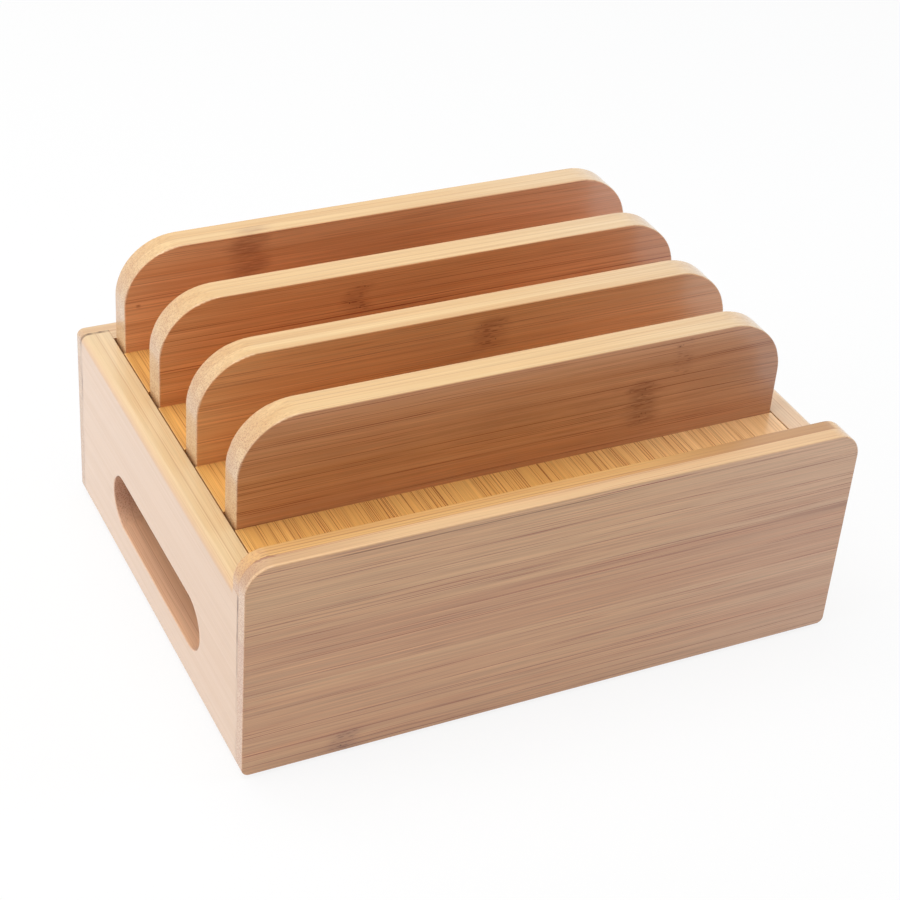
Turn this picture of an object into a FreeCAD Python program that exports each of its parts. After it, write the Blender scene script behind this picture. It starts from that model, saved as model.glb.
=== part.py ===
import FreeCAD, Part
import math
import os
import re
import Sketcher
from FreeCAD import Vector

# Bamboo charging station: a lapped and grooved box whose loose deck carries four upright dividers.
# Frame: +X to the right, +Y to the back, +Z up, origin on the table under the middle of the box.

# Every size, in millimetres, with what it measures.
SIZES = {
    "box_width": ("255", "outside of the box, left to right"),
    "box_depth": ("194", "outside of the box, front to back"),
    "wall_height": ("80", "side and back walls, lower edge to rim"),
    "front_height": ("95", "front wall, lower edge to the top of its lip"),
    "wall_thickness": ("12", "boards of all four walls"),
    "front_lap": ("6", "front wall left in front of the side walls"),
    "back_lap": ("5", "back wall left behind the side walls"),
    "lip_radius": ("11", "upper corners of the front wall"),
    "toe_radius": ("3", "lower outer edges on the left and right of the box"),
    "rim_radius": ("3", "upper outer edges on the left and right of the box, behind the lip"),
    "edge_radius": ("0.5", "eased edges of the boards"),
    "handle_length": ("102", "handle slot, end to end"),
    "handle_width": ("24", "handle slot, lower wall to upper wall"),
    "handle_rise": ("30", "middle of the handle slot above the wall's lower edge"),
    "floor_thickness": ("6", "floor board"),
    "floor_rise": ("6", "underside of the floor board above the walls' lower edges"),
    "groove_depth": ("5", "floor groove into each wall"),
    "groove_slack": ("0.3", "room for the floor board at the groove's roof and at its end"),
    "cleat_width": ("12", "deck cleat, out from the wall"),
    "cleat_height": ("12", "deck cleat, top to bottom"),
    "cleat_chamfer": ("2", "lower free edge of a deck cleat"),
    "deck_thickness": ("12", "deck board"),
    "deck_gap": ("0.4", "room between the deck and each wall"),
    "seam_radius": ("0.3", "edges of the deck and of the rims on either side of that gap"),
    "dado_depth": ("3", "groove in the deck for the foot of a divider"),
    "divider_thickness": ("12", "divider board"),
    "divider_rise": ("45.5", "top of the dividers above the deck"),
    "divider_radius": ("25", "upper corners of the dividers"),
    "divider_inset": ("0.5", "end of a divider in from the deck's edge"),
    "cable_slot_length": ("50", "cable slot in the deck, end to end"),
    "cable_slot_width": ("16", "cable slot in the deck, front to back"),
    "screw_length": ("30", "divider screw, head to tip"),
    "screw_head": ("7", "diameter of a screw's head"),
    "screw_shank": ("4", "diameter of a screw's shank"),
    "screw_tip": ("4", "length of a screw's point"),
    "screw_gap": ("0.1", "room round a screw in its hole"),
    "screw_spacing": ("85", "screw to screw along a divider"),
    "recess_length": ("4", "tip to tip across a screw's cross recess"),
    "recess_width": ("1", "one arm of a screw's cross recess"),
    "recess_depth": ("1.5", "depth of a screw's cross recess"),
    "pad_diameter": ("8", "non-slip foot pad"),
    "pad_thickness": ("1.5", "non-slip foot pad, table to wall"),
    "pad_edge": ("0.4", "rounded lower edge of a foot pad"),
    "pad_inset": ("27", "middle of a foot pad in from the box's front and back"),
}

DIVIDER_COUNT = 4
SCREWS_PER_DIVIDER = 3
TOUCH = 0.001

doc = FreeCAD.newDocument("charging_station")
sheet = doc.addObject("Spreadsheet::Sheet", "sizes")
for row, (name, (number, meaning)) in enumerate(SIZES.items(), 1):
    sheet.set(f"A{row}", meaning)
    sheet.set(f"B{row}", number)
    sheet.setAlias(f"B{row}", name)
doc.recompute()

# Sizes that follow from the sheet and that several pieces share.
INNER_WIDTH = "(box_width - 2 * wall_thickness)"
INNER_DEPTH = "(box_depth - 2 * wall_thickness)"
SIDE_LENGTH = "(box_depth - front_lap - back_lap)"
GROOVE_TOP = "(floor_rise + floor_thickness + groove_slack)"
FLOOR_REACH = "(groove_depth - groove_slack)"
DECK_WIDTH = f"({INNER_WIDTH} - 2 * deck_gap)"
DECK_DEPTH = f"({INNER_DEPTH} - 2 * deck_gap)"
DECK_UNDERSIDE = "(pad_thickness + wall_height - deck_thickness)"
DIVIDER_LENGTH = f"({DECK_WIDTH} - 2 * divider_inset)"
DIVIDER_HEIGHT = "(divider_rise + dado_depth)"
DIVIDER_PITCH = f"({DECK_DEPTH} / {DIVIDER_COUNT})"
BAY_WIDTH = f"({DIVIDER_PITCH} - divider_thickness)"
DADO_FLOOR = "(deck_thickness - dado_depth)"
SCREW_HOLE = "(screw_shank + 2 * screw_gap)"

sub_parts = []


def link(text):
    """Turn words such as box_width into references to the sheet."""
    return re.sub(r"[a-z_]+", r"sizes.\g<0>", text)


def value(text):
    """The number that an expression of sheet names has now."""
    return float(sheet.evalExpression(link(text)))


def new_body(label, x, y, z, turn=0):
    """An empty sub-part whose own corner stands at x, y, z, turned about +Z by so many degrees."""
    body = doc.addObject("PartDesign::Body", label)
    body.Label = label
    body.Placement = FreeCAD.Placement(Vector(), FreeCAD.Rotation(Vector(0, 0, 1), turn))
    for axis, place in zip("xyz", (x, y, z)):
        body.setExpression(f"Placement.Base.{axis}", link(place))
    sub_parts.append(body)
    return body


def origin_feature(body, role):
    """One of the planes or axes of a body's own origin."""
    return next(item for item in body.Origin.OriginFeatures if item.Role == role)


def new_sketch(body, name, plane, offset="0"):
    """An empty sketch on a plane of the body's origin, moved along that plane's normal."""
    sketch = body.newObject("Sketcher::SketchObject", f"{body.Label}_{name}")
    sketch.AttachmentSupport = (origin_feature(body, plane), [""])
    sketch.MapMode = "FlatFace"
    sketch.setExpression("AttachmentOffset.Base.z", link(offset))
    return sketch


def measure(sketch, kind, places, text):
    """A driving dimension of a sketch, bound to the sheet."""
    index = sketch.addConstraint(Sketcher.Constraint(kind, *places, value(text)))
    sketch.setExpression(f"Constraints[{index}]", link(text))


def pin(sketch, geometry, point, x=None, y=None):
    """Hold a point of a sketch at a distance from the sketch's origin."""
    for kind, text, axis in (("DistanceX", x, -2), ("DistanceY", y, -1)):
        if text == "0":
            sketch.addConstraint(Sketcher.Constraint("PointOnObject", geometry, point, axis))
        elif text:
            measure(sketch, kind, (-1, 1, geometry, point), text)


def rectangle(sketch, left, low, right, high):
    """A rectangle between four expressions."""
    x = [value(text) for text in (left, right, right, left)]
    y = [value(text) for text in (low, low, high, high)]
    first = sketch.GeometryCount
    for i in range(4):
        j = (i + 1) % 4
        sketch.addGeometry(Part.LineSegment(Vector(x[i], y[i]), Vector(x[j], y[j])), False)
    for i in range(4):
        sketch.addConstraint(Sketcher.Constraint("Coincident", first + i, 2, first + (i + 1) % 4, 1))
        sketch.addConstraint(Sketcher.Constraint(("Horizontal", "Vertical")[i % 2], first + i))
    pin(sketch, first, 1, left, low)
    pin(sketch, first + 1, 2, right, high)


def stadium(sketch, x, y, length, width):
    """A slot with round ends along the sketch's X, about a middle point."""
    radius = value(width) / 2
    reach = value(length) / 2 - radius
    middle = Vector(value(x), value(y))
    right, left = middle + Vector(reach, 0), middle - Vector(reach, 0)
    up = Vector(0, radius)
    axis = Vector(0, 0, 1)
    quarter = math.pi / 2
    first = sketch.GeometryCount
    sketch.addGeometry(Part.LineSegment(left - up, right - up), False)
    sketch.addGeometry(Part.ArcOfCircle(Part.Circle(right, axis, radius), -quarter, quarter), False)
    sketch.addGeometry(Part.LineSegment(right + up, left + up), False)
    sketch.addGeometry(Part.ArcOfCircle(Part.Circle(left, axis, radius), quarter, 3 * quarter), False)
    for i in range(4):
        sketch.addConstraint(Sketcher.Constraint("Tangent", first + i, 2, first + (i + 1) % 4, 1))
    sketch.addConstraint(Sketcher.Constraint("Horizontal", first))
    sketch.addConstraint(Sketcher.Constraint("Equal", first + 1, first + 3))
    measure(sketch, "Radius", (first + 1,), f"{width} / 2")
    pin(sketch, first + 1, 3, f"{x} + ({length} - {width}) / 2", y)
    pin(sketch, first + 3, 3, f"{x} - ({length} - {width}) / 2")


def circle(sketch, x, y, diameter):
    """A full circle about a point."""
    middle = Vector(value(x), value(y))
    index = sketch.addGeometry(Part.Circle(middle, Vector(0, 0, 1), value(diameter) / 2), False)
    measure(sketch, "Diameter", (index,), diameter)
    pin(sketch, index, 3, x, y)


def extrude(body, kind, sketch, length, backwards=False):
    """A Pad or Pocket of a sketch, which has to add or remove material."""
    before = body.Shape.Volume if body.Tip else 0
    feature = body.newObject(f"PartDesign::{kind}", f"{sketch.Name}_{kind.lower()}")
    feature.Profile = sketch
    feature.Reversed = backwards
    feature.setExpression("Length", link(length))
    doc.recompute()
    gain = feature.Shape.Volume - before
    if gain * (1 if kind == "Pad" else -1) <= 0:
        raise RuntimeError(f"{feature.Name} changes nothing")
    return feature


def dress(body, kind, name, size, test):
    """A Fillet or Chamfer on the edges of the body that pass a test."""
    base = body.Tip
    edges = [f"Edge{i}" for i, edge in enumerate(base.Shape.Edges, 1) if test(edge.BoundBox)]
    if not edges:
        raise RuntimeError(f"{body.Label} has no edges for its {name}")
    feature = body.newObject(f"PartDesign::{kind}", f"{body.Label}_{name}")
    feature.Base = (base, edges)
    feature.setExpression("Radius" if kind == "Fillet" else "Size", link(size))
    doc.recompute()
    return feature


def at(level, low, high):
    """True where an edge's extent along one axis is a single level."""
    return abs(low - level) < TOUCH and abs(high - level) < TOUCH


def at_x(box, text):
    return at(value(text), box.XMin, box.XMax)


def at_y(box, text):
    return at(value(text), box.YMin, box.YMax)


def at_z(box, text):
    return at(value(text), box.ZMin, box.ZMax)


def cut_floor_groove(body, inner, outer):
    """The groove across a front or back wall that holds the floor board, stopped short of the ends."""
    groove = new_sketch(body, "groove", "XY_Plane", "floor_rise")
    stop = "(wall_thickness - groove_depth)"
    rectangle(groove, stop, inner, f"box_width - {stop}", outer)
    extrude(body, "Pocket", groove, "floor_thickness + groove_slack", True)


def make_front_panel():
    """Front wall: the lip rises past the side walls at full thickness, and below it both ends are lapped."""
    body = new_body("front_panel", "-box_width / 2", "-box_depth / 2", "pad_thickness")
    board = new_sketch(body, "board", "XZ_Plane")
    rectangle(board, "0", "0", "box_width", "front_height")
    extrude(body, "Pad", board, "wall_thickness", True)
    ends = ("0", "box_width")
    dress(body, "Fillet", "lip_corners", "lip_radius",
          lambda box: at_z(box, "front_height") and any(at_x(box, end) for end in ends))
    dress(body, "Fillet", "toe_corners", "toe_radius",
          lambda box: at_z(box, "0") and any(at_x(box, end) for end in ends))
    laps = new_sketch(body, "laps", "XY_Plane")
    rectangle(laps, "0", "front_lap", "wall_thickness", "wall_thickness")
    rectangle(laps, "box_width - wall_thickness", "front_lap", "box_width", "wall_thickness")
    extrude(body, "Pocket", laps, "wall_height", True)
    cut_floor_groove(body, "wall_thickness - groove_depth", "wall_thickness")

    def shows(box):
        behind_lip = at_y(box, "wall_thickness") and box.ZMin > value("wall_height") - TOUCH
        return at_y(box, "0") or (behind_lip and not at_z(box, "wall_height"))

    dress(body, "Fillet", "edges", "edge_radius", shows)


def make_back_panel():
    """Back wall: as high as the side walls, lapped over their ends and rounded in line with them."""
    body = new_body("back_panel", "-box_width / 2", "box_depth / 2 - wall_thickness", "pad_thickness")
    board = new_sketch(body, "board", "XY_Plane")
    rectangle(board, "0", "0", "box_width", "wall_thickness")
    extrude(body, "Pad", board, "wall_height")
    ends = ("0", "box_width")
    dress(body, "Fillet", "rim_corners", "rim_radius",
          lambda box: at_z(box, "wall_height") and any(at_x(box, end) for end in ends))
    dress(body, "Fillet", "toe_corners", "toe_radius",
          lambda box: at_z(box, "0") and any(at_x(box, end) for end in ends))
    laps = new_sketch(body, "laps", "XY_Plane")
    rectangle(laps, "0", "0", "wall_thickness", "wall_thickness - back_lap")
    rectangle(laps, "box_width - wall_thickness", "0", "box_width", "wall_thickness - back_lap")
    extrude(body, "Pocket", laps, "wall_height", True)
    cut_floor_groove(body, "0", "groove_depth")
    dress(body, "Fillet", "edges", "edge_radius", lambda box: at_y(box, "wall_thickness"))


def make_side_panel(label, side, turn, lap):
    """Side wall with its handle slot, drawn from its outer face and from the end behind the given lap.

    The round of the rim stops at the front wall's lip, which sits on a square corner.
    """
    reach = f"(box_depth / 2 - {lap})"
    body = new_body(label, f"{side} * box_width / 2", f"{side} * {reach}", "pad_thickness", turn)
    board = new_sketch(body, "board", "YZ_Plane")
    rectangle(board, "0", "0", SIDE_LENGTH, "wall_height")
    stadium(board, reach, "handle_rise", "handle_length", "handle_width")
    extrude(body, "Pad", board, "wall_thickness")
    groove = new_sketch(body, "groove", "XZ_Plane")
    rectangle(groove, "wall_thickness - groove_depth", "floor_rise", "wall_thickness", GROOVE_TOP)
    extrude(body, "Pocket", groove, SIDE_LENGTH)
    dress(body, "Fillet", "toe", "toe_radius", lambda box: at_z(box, "0") and at_x(box, "0"))
    dress(body, "Fillet", "rim", "rim_radius", lambda box: at_z(box, "wall_height") and at_x(box, "0"))
    at_start = lap == "front_lap"
    stop = new_sketch(body, "rim_stop", "XZ_Plane", "0" if at_start else f"-{SIDE_LENGTH}")
    rectangle(stop, "0", "wall_height - rim_radius", "rim_radius", "wall_height")
    extrude(body, "Pad", stop, "wall_thickness - front_lap", at_start)

    dress(body, "Fillet", "seam", "seam_radius",
          lambda box: at_z(box, "wall_height") and at_x(box, "wall_thickness"))

    def slot_edge(box):
        low, high = value(GROOVE_TOP) + TOUCH, value("wall_height - rim_radius") - TOUCH
        in_slot = box.ZMin > low and box.ZMax < high
        return in_slot and (at_x(box, "0") or at_x(box, "wall_thickness"))

    dress(body, "Fillet", "edges", "edge_radius", slot_edge)


def make_bottom_panel():
    """Floor board: its four edges stand in the grooves of the walls."""
    width = f"({INNER_WIDTH} + 2 * {FLOOR_REACH})"
    depth = f"({INNER_DEPTH} + 2 * {FLOOR_REACH})"
    body = new_body("bottom_panel", f"-{width} / 2", f"-{depth} / 2", "pad_thickness + floor_rise")
    board = new_sketch(body, "board", "XY_Plane")
    rectangle(board, "0", "0", width, depth)
    extrude(body, "Pad", board, "floor_thickness")


def make_cleat(label, side, turn):
    """Deck cleat: a strip along the front or back wall, its free lower edge chamfered."""
    body = new_body(label, f"{side} * {INNER_WIDTH} / 2", f"{side} * {INNER_DEPTH} / 2",
                    f"{DECK_UNDERSIDE} - cleat_height", turn)
    section = new_sketch(body, "section", "YZ_Plane")
    rectangle(section, "0", "0", "cleat_width", "cleat_height")
    extrude(body, "Pad", section, INNER_WIDTH)
    dress(body, "Chamfer", "edge", "cleat_chamfer", lambda box: at_y(box, "cleat_width") and at_z(box, "0"))


def divider_front(i):
    """Front face of divider number i, counted from the back, along the deck."""
    return f"({DECK_DEPTH} - divider_thickness - {i} * {DIVIDER_PITCH})"


def screw_places(start):
    """Screw positions along a board whose left end stands at a distance from the deck's left edge."""
    middle = (SCREWS_PER_DIVIDER - 1) / 2
    return [f"({DECK_WIDTH} / 2 - {start} + {j - middle} * screw_spacing)" for j in range(SCREWS_PER_DIVIDER)]


def make_deck():
    """Deck: a loose board with a dado for each divider, a cable slot in each rear bay and screw holes."""
    body = new_body("deck", f"-{DECK_WIDTH} / 2", f"-{DECK_DEPTH} / 2", DECK_UNDERSIDE)
    board = new_sketch(body, "board", "XY_Plane")
    rectangle(board, "0", "0", DECK_WIDTH, DECK_DEPTH)
    extrude(body, "Pad", board, "deck_thickness")
    dados = new_sketch(body, "dados", "XY_Plane", DADO_FLOOR)
    for i in range(DIVIDER_COUNT):
        rectangle(dados, "0", divider_front(i), DECK_WIDTH, f"{divider_front(i)} + divider_thickness")
    extrude(body, "Pocket", dados, "dado_depth", True)
    cable_slots = new_sketch(body, "cable_slots", "XY_Plane")
    for i in range(DIVIDER_COUNT - 1):
        stadium(cable_slots, f"{DECK_WIDTH} / 2", f"({divider_front(i)} - {BAY_WIDTH} / 2)",
                "cable_slot_length", "cable_slot_width")
    extrude(body, "Pocket", cable_slots, "deck_thickness", True)
    holes = new_sketch(body, "screw_holes", "XY_Plane")
    for i in range(DIVIDER_COUNT):
        for place in screw_places("0"):
            circle(holes, place, f"{divider_front(i)} + divider_thickness / 2", SCREW_HOLE)
    extrude(body, "Pocket", holes, "deck_thickness", True)
    hole_size = value("screw_head")
    dress(body, "Chamfer", "countersinks", f"(screw_head - {SCREW_HOLE}) / 2",
          lambda box: at_z(box, "0") and box.XLength < hole_size and box.YLength < hole_size)

    def on_top(box):
        return at_z(box, "deck_thickness")

    def slot_rim(box):
        return on_top(box) and box.XMin > TOUCH and box.XMax < value(DECK_WIDTH) - TOUCH

    def beside_wall(box):
        return on_top(box) and (at_x(box, "0") or at_x(box, DECK_WIDTH) or at_y(box, "0"))

    dress(body, "Fillet", "slot_rims", "edge_radius", slot_rim)
    dress(body, "Fillet", "seam", "seam_radius", beside_wall)


def make_divider(number):
    """Upright divider: rounded upper corners, foot in the deck's dado, pilot holes for its screws."""
    front = divider_front(DIVIDER_COUNT - number)
    body = new_body(f"divider_{number}", f"-{DIVIDER_LENGTH} / 2", f"{front} - {DECK_DEPTH} / 2",
                    f"{DECK_UNDERSIDE} + {DADO_FLOOR}")
    board = new_sketch(body, "board", "XZ_Plane")
    rectangle(board, "0", "0", DIVIDER_LENGTH, DIVIDER_HEIGHT)
    extrude(body, "Pad", board, "divider_thickness", True)
    ends = ("0", DIVIDER_LENGTH)
    dress(body, "Fillet", "corners", "divider_radius",
          lambda box: at_z(box, DIVIDER_HEIGHT) and any(at_x(box, end) for end in ends))
    pilots = new_sketch(body, "pilots", "XY_Plane")
    for place in screw_places("divider_inset"):
        circle(pilots, place, "divider_thickness / 2", SCREW_HOLE)
    extrude(body, "Pocket", pilots, f"screw_length - {DADO_FLOOR} + screw_gap", True)

    def shows(box):
        on_face = at_y(box, "0") or at_y(box, "divider_thickness")
        return on_face and not at_z(box, "0")

    dress(body, "Fillet", "edges", "edge_radius", shows)


def make_divider_screws():
    """Countersunk screws: one turned screw with a cross recess, repeated along and across the deck."""
    middle = (SCREWS_PER_DIVIDER - 1) / 2
    last = divider_front(DIVIDER_COUNT - 1)
    body = new_body("divider_screws", f"-{middle} * screw_spacing",
                    f"{last} + divider_thickness / 2 - {DECK_DEPTH} / 2", DECK_UNDERSIDE)
    head, shank = "screw_head / 2", "screw_shank / 2"
    neck, taper = "(screw_head - screw_shank) / 2", "screw_length - screw_tip"
    points = [("0", "0"), (head, "0"), (shank, neck), (shank, taper), ("0", "screw_length")]
    profile = new_sketch(body, "profile", "XZ_Plane")
    corners = [Vector(value(x), value(z)) for x, z in points]
    for i, corner in enumerate(corners):
        profile.addGeometry(Part.LineSegment(corner, corners[(i + 1) % len(corners)]), False)
    for i, (x, z) in enumerate(points):
        profile.addConstraint(Sketcher.Constraint("Coincident", i - 1 if i else len(points) - 1, 2, i, 1))
        pin(profile, i, 1, x, z)
    turned = body.newObject("PartDesign::Revolution", "divider_screws_turned")
    turned.Profile = profile
    turned.ReferenceAxis = (profile, ["V_Axis"])
    doc.recompute()
    cuts = []
    for name, across, along in (("recess_x", "recess_length", "recess_width"),
                                ("recess_y", "recess_width", "recess_length")):
        arm = new_sketch(body, name, "XY_Plane")
        rectangle(arm, f"-{across} / 2", f"-{along} / 2", f"{across} / 2", f"{along} / 2")
        cuts.append(extrude(body, "Pocket", arm, "recess_depth", True))
    grid = body.newObject("PartDesign::LinearPattern", "divider_screws_grid")
    grid.Originals = [turned, *cuts]
    grid.Direction = (origin_feature(body, "X_Axis"), [""])
    grid.Occurrences = SCREWS_PER_DIVIDER
    grid.setExpression("Length", link(f"{SCREWS_PER_DIVIDER - 1} * screw_spacing"))
    grid.Direction2 = (origin_feature(body, "Y_Axis"), [""])
    grid.Occurrences2 = DIVIDER_COUNT
    grid.setExpression("Length2", link(f"{DIVIDER_COUNT - 1} * {DIVIDER_PITCH}"))
    body.Tip = grid
    doc.recompute()
    if len(body.Shape.Solids) != SCREWS_PER_DIVIDER * DIVIDER_COUNT:
        raise RuntimeError("some divider screws are missing")


def make_foot_pad(number, side_x, side_y):
    """Non-slip pad under the flat of a side wall, its lower edge rounded."""
    body = new_body(f"foot_pad_{number}", f"{side_x} * (box_width - wall_thickness - toe_radius) / 2",
                    f"{side_y} * (box_depth / 2 - pad_inset)", "0")
    disc = new_sketch(body, "disc", "XY_Plane")
    circle(disc, "0", "0", "pad_diameter")
    extrude(body, "Pad", disc, "pad_thickness")
    dress(body, "Fillet", "edge", "pad_edge", lambda box: at_z(box, "0"))


def check_model():
    """Stop if any object failed or any sub-part isn't a sound solid."""
    for item in doc.Objects:
        if {"Invalid", "Error"} & set(item.State):
            raise RuntimeError(f"{item.Name} is {item.State}")
    for body in sub_parts:
        if body.Shape.isNull() or not body.Shape.isValid() or not body.Shape.Solids:
            raise RuntimeError(f"{body.Label} isn't a sound solid")


make_front_panel()
make_back_panel()
make_side_panel("left_panel", -1, 0, "front_lap")
make_side_panel("right_panel", 1, 180, "back_lap")
make_bottom_panel()
make_cleat("front_cleat", -1, 0)
make_cleat("back_cleat", 1, 180)
make_deck()
for number in range(1, DIVIDER_COUNT + 1):
    make_divider(number)
make_divider_screws()
for number, (side_x, side_y) in enumerate(((-1, -1), (1, -1), (-1, 1), (1, 1)), 1):
    make_foot_pad(number, side_x, side_y)

doc.recompute()
check_model()
os.makedirs("parts", exist_ok=True)
for body in sub_parts:
    body.Shape.exportStep(f"parts/{body.Label}.step")
    box = body.Shape.BoundBox
    print(f"{body.Label}: {len(body.Shape.Solids)} solids, {body.Shape.Volume:.1f} mm3,",
          f"x {box.XMin:.2f} to {box.XMax:.2f}, y {box.YMin:.2f} to {box.YMax:.2f},",
          f"z {box.ZMin:.2f} to {box.ZMax:.2f}")
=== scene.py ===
# %% [markdown]
# # A bamboo charging station: from bare boards to a studio picture
#
# The walls, the deck, the dividers, the screws and the pads arrive as finished solids, at their real
# size and in their real places. This lesson gives them what makes them bamboo: strips glued side by
# side, fibres along every board, dots where a board is cut across, and the dark knuckles of the cane.
# The camera comes first, and a floor and soft light come last.

# %% Load the boards
import bpy
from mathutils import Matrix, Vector


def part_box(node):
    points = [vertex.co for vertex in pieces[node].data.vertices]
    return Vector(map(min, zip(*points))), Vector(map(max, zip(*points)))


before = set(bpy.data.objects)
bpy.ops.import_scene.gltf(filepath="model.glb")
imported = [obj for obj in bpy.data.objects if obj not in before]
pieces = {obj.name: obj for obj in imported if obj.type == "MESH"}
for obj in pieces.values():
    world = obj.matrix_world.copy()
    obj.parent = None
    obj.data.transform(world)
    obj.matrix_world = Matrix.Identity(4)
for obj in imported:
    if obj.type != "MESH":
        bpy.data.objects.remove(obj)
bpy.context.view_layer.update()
bpy.ops.object.select_all(action="DESELECT")

# %% [markdown]
# ## The camera first
#
# Every finish is judged through the lens, so the camera comes before them. A product picture is taken
# from a distance with a long lens, which keeps upright edges nearly parallel. The place, the tilt and
# the small roll below put the station's edges on the same lines as in the picture that it is built from.

# %% Camera
CAMERA_PLACE = (-0.34040, -0.63906, 0.55292)
CAMERA_TURN = (0.96614, -0.06793, -0.44138)
LENS_MM = 86.04
SENSOR_MM = 36.0
NEAREST_SEEN = 0.01

bpy.ops.object.camera_add(location=CAMERA_PLACE, rotation=CAMERA_TURN)
camera = bpy.context.object
camera.name = "picture_camera"
camera.data.lens = LENS_MM
camera.data.sensor_width = SENSOR_MM
camera.data.clip_start = NEAREST_SEEN
bpy.context.scene.camera = camera
print("camera with a", LENS_MM, "mm lens")

# %% [markdown]
# ## Short words for node trees
#
# A material is a tree of nodes, and in a script each node takes several lines: make it, set it, feed
# it. One helper does that for any node. The others are short words for the nodes that bamboo needs over
# and over: sums, steps, mixes and patterns. A value that is a socket becomes a link, and any other value
# is typed into the input, just as in the node editor. A group is a small tree that works as one node, so
# all the boards can share it.

# %% Helper: any node
def add(tree, kind, inputs, **settings):
    """A node of a kind, with its settings, fed with plain values or with other nodes' outputs."""
    made = tree.nodes.new(kind)
    for name, setting in settings.items():
        setattr(made, name, setting)
    for name, given in inputs.items():
        if isinstance(given, bpy.types.NodeSocket):
            tree.links.new(given, made.inputs[name])
        else:
            made.inputs[name].default_value = given
    return made


print("any node can be added to a tree")


# %% Helpers: sums and steps
def maths(tree, operation, *values, clamp=False):
    """The result of a Math node."""
    made = add(tree, "ShaderNodeMath", dict(enumerate(values)), operation=operation, use_clamp=clamp)
    return made.outputs[0]


def plus(tree, first, second, clamp=False):
    """The sum of two values."""
    return maths(tree, "ADD", first, second, clamp=clamp)


def minus(tree, first, second, clamp=False):
    """The first value less the second."""
    return maths(tree, "SUBTRACT", first, second, clamp=clamp)


def times(tree, first, *others):
    """The product of two or more values."""
    for other in others:
        first = maths(tree, "MULTIPLY", first, other)
    return first


def highest(tree, first, *others):
    """The highest of two or more values."""
    for other in others:
        first = maths(tree, "MAXIMUM", first, other)
    return first


def away(tree, value, middle):
    """How far a value is from a middle, on either side."""
    return maths(tree, "ABSOLUTE", minus(tree, value, middle))


def ramp(tree, value, low, high, start=0.0, end=1.0):
    """A smooth step: start below low, end above high."""
    limits = {"From Min": low, "From Max": high, "To Min": start, "To Max": end}
    made = add(tree, "ShaderNodeMapRange", {"Value": value, **limits}, interpolation_type="SMOOTHSTEP")
    return made.outputs["Result"]


def fade(tree, value, low, high, full=1.0):
    """A smooth step down: full below low, nothing above high."""
    return ramp(tree, value, low, high, full, 0.0)


print("sums and steps are ready")


# %% Helpers: vectors, colours and patterns
def vector(tree, operation, first, second):
    """The vector that a Vector Math node makes of two others."""
    return add(tree, "ShaderNodeVectorMath", {0: first, 1: second}, operation=operation).outputs[0]


def axes_of(tree, place):
    """The X, Y and Z of a vector."""
    return add(tree, "ShaderNodeSeparateXYZ", {0: place}).outputs


def vector_of(tree, *parts):
    """A vector made of its X, Y and Z. A part that is left out is 0."""
    return add(tree, "ShaderNodeCombineXYZ", dict(enumerate(parts))).outputs[0]


def mix(tree, share, first, second, how="MIX"):
    """A first colour changed by a share of a second one: towards it, or multiplied by it."""
    made = add(tree, "ShaderNodeMix", {0: share, 6: first, 7: second}, data_type="RGBA", blend_type=how)
    return made.outputs[2]


def noise(tree, place, scale, detail=1.0, roughness=0.5):
    """Soft random values from 0 to 1, stretched by a different scale along each axis."""
    stretched = vector(tree, "MULTIPLY", place, scale)
    made = add(tree, "ShaderNodeTexNoise", {"Vector": stretched, "Scale": 1.0, "Detail": detail,
                                            "Roughness": roughness}, noise_dimensions="3D")
    return made.outputs[0]


def cells(tree, place, scale, dimensions="3D"):
    """The distance to the nearest of many scattered points, stretched by a scale along each axis."""
    stretched = vector(tree, "MULTIPLY", place, scale)
    made = add(tree, "ShaderNodeTexVoronoi", {"Vector": stretched, "Scale": 1.0},
               voronoi_dimensions=dimensions)
    return made.outputs["Distance"]


print("vectors, colours and patterns are ready")


# %% Helpers: groups
def new_group(name, inputs, outputs):
    """An empty shader group with named sockets, and what comes in and goes out of it."""
    group = bpy.data.node_groups.new(name, "ShaderNodeTree")
    kinds = {3: "NodeSocketVector", 4: "NodeSocketColor"}
    for label, default in inputs.items():
        kind = kinds[len(default)] if isinstance(default, tuple) else "NodeSocketFloat"
        group.interface.new_socket(label, in_out="INPUT", socket_type=kind).default_value = default
    for label, kind in outputs.items():
        group.interface.new_socket(label, in_out="OUTPUT", socket_type=f"NodeSocket{kind}")
    return group, group.nodes.new("NodeGroupInput").outputs, group.nodes.new("NodeGroupOutput").inputs


def give_out(tree, results, **made):
    """Join what a group made to its outputs."""
    for name, socket in made.items():
        tree.links.new(socket, results[name])
    print("group", tree.name, "with", len(tree.nodes), "nodes")


def place_group(tree, group, inputs):
    """A copy of a shader group in a tree, with its own values."""
    return add(tree, "ShaderNodeGroup", inputs, node_tree=group).outputs


print("groups are ready")

# %% [markdown]
# ## Strips
#
# A bamboo board is no plank from one tree. The cane is split, planed into flat strips a little over
# 20 mm wide and about 6 mm thick, and glued up in two layers. So the tone jumps from strip to strip,
# and fine glue lines show between strips and between the layers. An image texture could show that on
# one face only. Counting strips in all three directions shows it right on every face and every cut.
#
# All places are in millimetres along the fibres, across the strips and through the layers. The three
# numbers of a pattern, in the same order, say how often it repeats in a millimetre.

# %% Group: strips and glue lines
NOWHERE = (0.0, 0.0, 0.0)
HALF = 0.5  # half a strip, and the middle of random values from 0 to 1
LAYER_SHIFT = 0.37  # how far the next layer's seams lie to the side, in strips
SEAM_HALF = (0.05, 0.35)  # from a seam: full up to the first distance, gone at the second
JOINT_HALF = (0.05, 0.32)

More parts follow.
